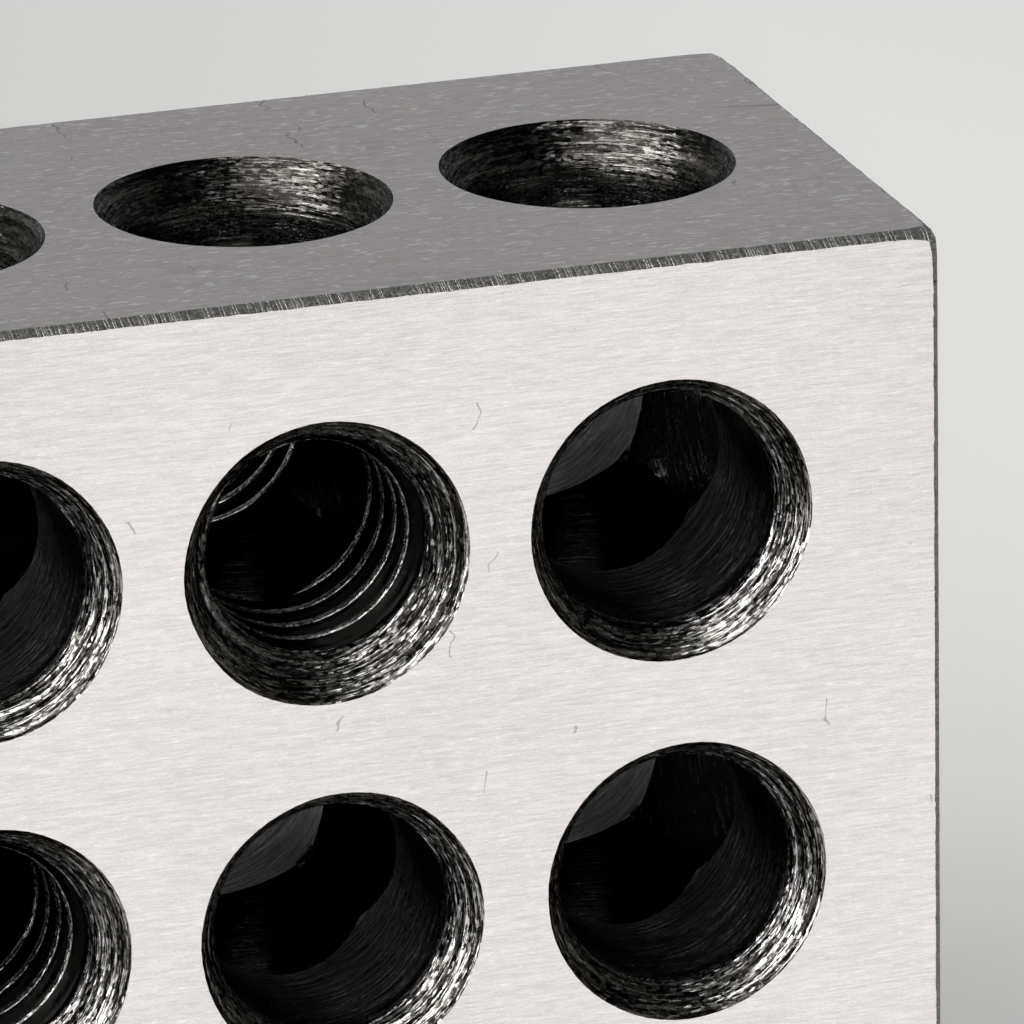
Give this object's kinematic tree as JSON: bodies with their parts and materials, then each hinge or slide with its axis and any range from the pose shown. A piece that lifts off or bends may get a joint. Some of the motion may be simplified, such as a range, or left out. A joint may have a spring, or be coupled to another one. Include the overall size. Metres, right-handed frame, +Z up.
{
  "type": "machinist setup block",
  "caption": "Ground steel parallel block bored through from three sides with countersunk plain and tapped holes, for setting up and clamping work.",
  "frame": {"origin": "centre of the narrow long face that the block stands on", "axes": "+X along the length, +Y through the thickness, away from the face in the picture, +Z up"},
  "size_m": [0.0762, 0.0254, 0.0508],
  "materials": {
    "ground_steel": "surface ground, dark in the bores"
  },
  "bodies": {
    "root": {"setup_block": "ground_steel"}
  },
  "joints": []
}
